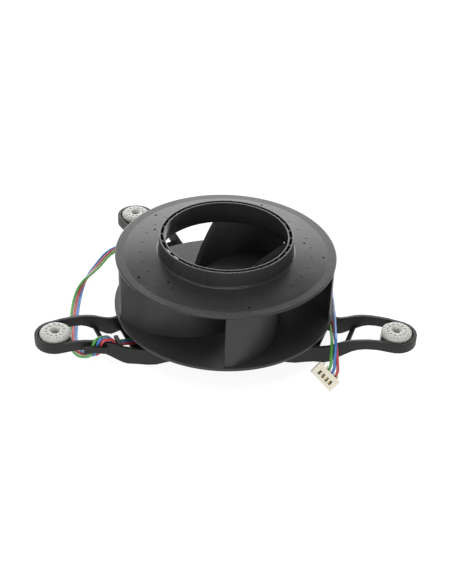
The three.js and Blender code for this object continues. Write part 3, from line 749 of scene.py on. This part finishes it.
class BLOWER_OT_shroud(Operator):
    """Turn the shroud with its double-walled inlet collar, and rib the groove"""
    bl_idname = "blower.shroud"
    bl_label = "Shroud and collar"

    # one gate mark for each blade, and three ejector marks: radii, angles and floor
    GATE_RADIUS = 52.8
    GATE_START_DEGREES = 68
    EJECTOR_RADIUS = 43.7
    EJECTOR_DEGREES = (12, 156, 228)
    MARK_FLOOR = 47.4
    MARK_SIDES = 14
    SEGMENTS = 192
    RIB_HALF_WIDTH = 0.5
    RIB_TOP = 57.7
    # how far a rib runs into the walls and the floor that it joins
    RIB_ROOT = 0.3
    # the lines of the profile, as radius and height pairs
    THROAT = (
        (33.1, 54), (33.25, 52), (33.62, 50), (34.2, 48.2), (34.95, 46.4), (35.9, 44.7), (36.8, 43.5))
    MOUTH = (
        (37.3, 43.2), (37.9, 43.25), (38.6, 43.7), (40, 44.75), (41.5, 45.5), (43.5, 45.95), (46, 46.2))
    RIM = (
        (59.8, 46.7), (SHROUD_RADIUS, 46.9), (SHROUD_RADIUS, 47.6), (59.9, 47.85), (59.6, SHROUD_TOP),
        (59.4, SHROUD_TOP), (55.2, SHROUD_TOP))
    # from the flat rim the top rises gently to the fillet at the collar's foot
    SLOPE = ((55, 48.02), (54.8, 48.06))
    FILLET = {"centre": (37.95, 50.45), "radius": 1.25, "first": -96, "last": -176, "count": 6}
    # above this height, and outside this radius, an upright face belongs to the collar's outer wall
    COLLAR_FOOT = 51
    COLLAR_WALL = 35.9

    def execute(self, context):
        settings = context.scene.blower_wheel
        outer_lip, inner_lip = COLLAR_OUTER - LIP_WALL, COLLAR_INNER + LIP_WALL
        rounding = settings.lip_rounding / MM
        lips = [
            *arc((COLLAR_OUTER - rounding, COLLAR_TOP - rounding), rounding, 0, 90, 3),
            *arc((outer_lip + rounding, COLLAR_TOP - rounding), rounding, 90, 180, 3),
            (outer_lip, GROOVE_FLOOR), (inner_lip, GROOVE_FLOOR),
            *arc((inner_lip - rounding, COLLAR_TOP - rounding), rounding, 0, 90, 3),
            *arc((COLLAR_INNER + rounding, COLLAR_TOP - rounding), rounding, 90, 180, 3),
        ]
        profile = [*self.MOUTH, *self.RIM, *self.SLOPE, *arc(**self.FILLET), *lips, *self.THROAT]
        shroud = turned("shroud", profile, self.SEGMENTS)
        joined(shroud, self.ribs(settings, inner_lip, outer_lip))
        joined(shroud, self.marks(settings), "DIFFERENCE")
        joined(shroud, self.scale(settings), "DIFFERENCE")
        shaded(shroud, broad=True)
        material = wheel_polyamide(
            "moulded black polyamide", settings.colour_dark, settings.colour_light, (0.2, 0.29))
        finished(shroud, "rotor", "wheel_plastic", material, "wheel_shroud")
        self.finish_collar(shroud, settings)
        return {"FINISHED"}

    def ribs(self, settings, inner_lip, outer_lip):
        """The ribs that join the two walls of the collar across the groove."""
        root, half = self.RIB_ROOT, self.RIB_HALF_WIDTH
        low = (inner_lip - root, -half, GROOVE_FLOOR - root)
        rib = block("groove_rib", low, (outer_lip + root, half, self.RIB_TOP))
        count = settings.groove_ribs
        return copies_round(rib, [360 / count * i for i in range(count)])

    def marks(self, settings):
        """Short studs that cut the round mould marks into the top face."""
        step = 360 / settings.blades
        places = [(self.GATE_RADIUS, self.GATE_START_DEGREES + step * i) for i in range(settings.blades)]
        places += [(self.EJECTOR_RADIUS, degrees) for degrees in self.EJECTOR_DEGREES]
        tools = []
        for radius, degrees in places:
            centre = spot(radius, 0, degrees) / MM
            tools.append(stud(
                "mark", settings.pit_radius / MM, self.MARK_FLOOR, ABOVE_SHROUD, centre[:2],
                self.MARK_SIDES))
        select_only(*tools)
        bpy.ops.object.join()
        return tools[0]

    def scale(self, settings):
        """A shallow tick beside each space in the groove, which tells where a balance clip sits."""
        tick = block("scale_tick", (45.4, -0.2, 48.42), (47.3, 0.2, ABOVE_SHROUD))
        count = settings.groove_ribs
        return copies_round(tick, [360 / count * (i + 0.5) for i in range(count)])

    def finish_collar(self, shroud, settings):
        """Flow lines on the upright outer wall of the collar, and a painted highlight on the lips."""
        shroud.data.materials.append(collar_polyamide(settings))
        shroud.data.materials.append(lip_painted_highlight())
        _, flow_lines, painted_highlight = range(3)
        lip = COLLAR_TOP * MM - settings.lip_rounding * 1.05
        for face in shroud.data.polygons:
            middle = face.center
            upright = abs(face.normal.z) < 0.3
            on_wall = middle.z > self.COLLAR_FOOT * MM and middle.xy.length > self.COLLAR_WALL * MM
            # faces on the lips take the paler material, a painted highlight
            if middle.z > lip:
                face.material_index = painted_highlight
            elif upright and on_wall:
                face.material_index = flow_lines


class BLOWER_OT_wheel_base(Operator):
    """Turn the base plate with its hub dome, and stand the blades on it"""
    bl_idname = "blower.wheel_base"
    bl_label = "Base plate and blades"

    SEGMENTS = 160
    EDGE = 61
    # the hub's inside, from the axis out and down to the plate's underside
    HUB_INSIDE = ((0, 24.1), (17, 24.1), (19.8, 23.4), (19.8, BASE_PLATE_BOTTOM))
    HUB_FILLET = {"centre": (27.5, 20.6), "radius": 4.7, "first": -90, "last": -165, "count": 6}
    HUB_WALL = 22.4
    DOME_EDGE = {"centre": (17.6, 22.2), "radius": 3.8, "first": 20, "last": 90, "count": 6}
    DOME_TOP = 26
    # the blade's line on the plate, seen from above
    BLADE_CENTRE = (-23.7, 8.8)
    BLADE_RADIUS = 44.9
    BLADE_DEGREES = (221, 318)
    BLADE_STEPS = 40
    # a blade starts inside the plate and is raised past the shroud before it is trimmed
    BLADE_START = 15
    BLADE_RISE = 33
    # the space that a blade may fill, as radius and height pairs
    BLADE_SPACE = (
        (24.3, 15.2), (59.8, 15.2), (59.8, 46.6), (46, 46.1), (43.5, 45.85), (41.5, 45.4), (39.9, 44.6),
        (39.2, 43.6), (32, 29.6), (24.6, BASE_PLATE_TOP))

    def execute(self, context):
        settings = context.scene.blower_wheel
        edge = [
            (self.EDGE - 0.2, BASE_PLATE_BOTTOM), (self.EDGE, BASE_PLATE_BOTTOM + 0.25),
            (self.EDGE, BASE_PLATE_TOP - 0.25), (self.EDGE - 0.2, BASE_PLATE_TOP)]
        fillet_start = self.HUB_FILLET["centre"]
        hub = [
            (fillet_start[0], BASE_PLATE_TOP), *arc(**self.HUB_FILLET), (self.HUB_WALL, fillet_start[1]),
            *arc(**self.DOME_EDGE), (0, self.DOME_TOP)]
        plate = turned("base_plate", [*self.HUB_INSIDE, *edge, *hub], self.SEGMENTS)
        blade = self.blade(settings)
        turns = [360 / settings.blades * i for i in range(settings.blades)]
        joined(plate, copies_round(blade, turns))
        shaded(plate)
        # lighter than the shroud: painted fill light on the shaded blades, over the plastic's own tone
        material = wheel_polyamide(
            "moulded black polyamide, duller", settings.base_dark, settings.base_light, (0.38, 0.48))
        finished(plate, "rotor", "wheel_plastic", material, "wheel_base")
        return {"FINISHED"}

    def blade(self, settings):
        """A curved wall raised from an arc, thickened, and trimmed to the space under the shroud."""
        half = settings.blade_thickness / MM / 2
        line = arc(self.BLADE_CENTRE, self.BLADE_RADIUS - half, *self.BLADE_DEGREES, self.BLADE_STEPS)
        wall = drawn_line("blade", [Vector((x, y, self.BLADE_START)) * MM for x, y in line])
        bpy.ops.mesh.select_all(action="SELECT")
        bpy.ops.mesh.extrude_region_move(TRANSFORM_OT_translate={"value": (0, 0, self.BLADE_RISE * MM)})
        closed_up()
        leave_edit()
        apply_modifier(wall, "SOLIDIFY", thickness=settings.blade_thickness, offset=0)
        edit(wall)
        closed_up()
        leave_edit()
        joined(wall, turned("blade_space", self.BLADE_SPACE), "INTERSECT")
        return eased(wall, 0.4, 3, 40)


class BLOWER_OT_balance_weights(Operator):
    """Clip the two steel balance weights into the collar's groove"""
    bl_idname = "blower.balance_weights"
    bl_label = "Balance weights"

    EDGE_ROUNDING = 0.15

    def execute(self, context):
        material = kept_finish("zinc_steel")
        for number in (1, 2):
            node = f"balance_weight_{number}"
            clip = refined_copy(node, f"balance_clip_{number}", self.EDGE_ROUNDING)
            finished(clip, "rotor", "zinc_steel", material, node)
        return {"FINISHED"}


# ---------------------------------------------------------------- bracket and dampers

class BLOWER_OT_bracket(Operator):
    """Round the edges of the three-armed bracket and give it its grain"""
    bl_idname = "blower.bracket"
    bl_label = "Bracket"

    # slivers in the node's mesh would throw out spikes when its edges are rounded, so they go first
    SLIVER = 0.08
    FLAT_DEGREES = 1

    def execute(self, context):
        settings = context.scene.blower_bracket
        rounding = settings.edge_rounding / MM
        bracket = refined_copy("bracket", "bracket_moulding", rounding, self.SLIVER, self.FLAT_DEGREES)
        finished(bracket, "base", "bracket_plastic", bracket_polyamide(settings), "bracket")
        return {"FINISHED"}


class BLOWER_OT_dampers(Operator):
    """Turn one silicone damper, pierce and rib it, and set a copy in each loop"""
    bl_idname = "blower.dampers"
    bl_label = "Dampers"

    # foot, neck in the arm's plate, and ribbed head, as radius and height pairs
    PROFILE = (
        (2.6, 13.6), (7.8, 13.6), (8.4, 14.2), (8.4, 16.7), (4.3, 16.7), (4.3, 18.7), (8.15, 18.7),
        (8.15, 20.5), (8.05, 20.8), (7.1, 21.65), (6.8, 21.8), (2.9, 21.8), (2.6, 21.5))
    # a cut from above starts this high, clear of the head
    ABOVE = 23

    def execute(self, context):
        settings = context.scene.blower_dampers
        pattern = self.damper(settings)
        material = silicone_rubber(settings)
        for name, degrees in ARM_DEGREES.items():
            piece = bpy.data.objects.new(f"silicone_damper_{name}", pattern.data.copy())
            context.scene.collection.objects.link(piece)
            piece.data.transform(Matrix.Translation(spot(DAMPER_DISTANCE, 0, degrees)))
            finished(piece, "base", "silicone", material, f"damper_{name}")
        bpy.data.objects.remove(pattern)
        return {"FINISHED"}

    def damper(self, settings):
        """A turned damper with its ring of holes, its flutes and its ribbed bore."""
        piece = turned("damper", self.PROFILE, 64)
        ring = settings.hole_ring / MM
        hole = stud("damper_hole", settings.hole_radius / MM, 19.8, self.ABOVE, (ring, 0), 14)
        step = 360 / settings.holes
        joined(piece, copies_round(hole, [step * (i + 0.5) for i in range(settings.holes)]), "DIFFERENCE")
        flute = block("damper_flute", (6.1, -0.24, 21.2), (9, 0.24, self.ABOVE))
        step = 360 / settings.flutes
        joined(piece, copies_round(flute, [step * i for i in range(settings.flutes)]), "DIFFERENCE")
        rib = block("bore_rib", (1.95, -0.22, 13.9), (2.8, 0.22, 21.3))
        step = 360 / settings.bore_ribs
        joined(piece, copies_round(rib, [step * i for i in range(settings.bore_ribs)]))
        return eased(piece, 0.08, 1, 50)


# ---------------------------------------------------------------- connector

class BLOWER_OT_connector(Operator):
    """Round the edges of the connector's housing"""
    bl_idname = "blower.connector"
    bl_label = "Connector"

    EDGE_ROUNDING = 0.16

    def execute(self, context):
        housing = refined_copy("connector_housing", "connector_body", self.EDGE_ROUNDING)
        finished(housing, "base", "connector_nylon", ivory_nylon(), "connector_housing")
        return {"FINISHED"}


class BLOWER_OT_kept_pieces(Operator):
    """Give every piece that keeps its shape the finish of its material"""
    bl_idname = "blower.kept_pieces"
    bl_label = "Motor and small pieces"

    def execute(self, context):
        finishes = {name: kept_finish(name) for name in KEPT_FINISHES}
        for entry in frame["record"]["subparts"]:
            node = frame["nodes"][entry["node"]]
            material = finishes.get(entry["material_slot"])
            if node.hide_render:
                continue
            if material is None:
                raise RuntimeError(f"{entry['node']} has no finish")
            for slot in node.material_slots:
                slot.material = material
        return {"FINISHED"}


# ---------------------------------------------------------------- panel and registration

STEPS = (
    BLOWER_OT_studio, BLOWER_OT_leads, BLOWER_OT_shroud, BLOWER_OT_wheel_base, BLOWER_OT_balance_weights,
    BLOWER_OT_bracket, BLOWER_OT_dampers, BLOWER_OT_connector, BLOWER_OT_kept_pieces,
)
SETTINGS = {
    "blower_wheel": WheelSettings,
    "blower_bracket": BracketSettings,
    "blower_dampers": DamperSettings,
    "blower_leads": LeadSettings,
    "blower_studio": StudioSettings,
}


class BLOWER_PT_pieces(Panel):
    """The steps that build the blower, in order"""
    bl_idname = "BLOWER_PT_pieces"
    bl_label = "Blower"
    bl_space_type = "VIEW_3D"
    bl_region_type = "UI"
    bl_category = "Blower"

    def draw(self, context):
        for step in STEPS:
            self.layout.operator(step.bl_idname)
        for group_name, group in SETTINGS.items():
            box = self.layout.box()
            for setting in group.__annotations__:
                box.prop(getattr(context.scene, group_name), setting)


def register():
    """Register every class, and hang the settings on the scene."""
    for group_name, group in SETTINGS.items():
        bpy.utils.register_class(group)
        setattr(bpy.types.Scene, group_name, PointerProperty(type=group))
    for each in (*STEPS, BLOWER_PT_pieces):
        bpy.utils.register_class(each)


def unregister():
    """Undo register."""
    for each in reversed((*STEPS, BLOWER_PT_pieces)):
        bpy.utils.unregister_class(each)
    for group_name, group in SETTINGS.items():
        delattr(bpy.types.Scene, group_name)
        bpy.utils.unregister_class(group)


def main():
    """Register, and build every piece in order."""
    register()
    for step in STEPS:
        area, name = step.bl_idname.split(".")
        getattr(getattr(bpy.ops, area), name)()


if __name__ == "__main__":
    main()
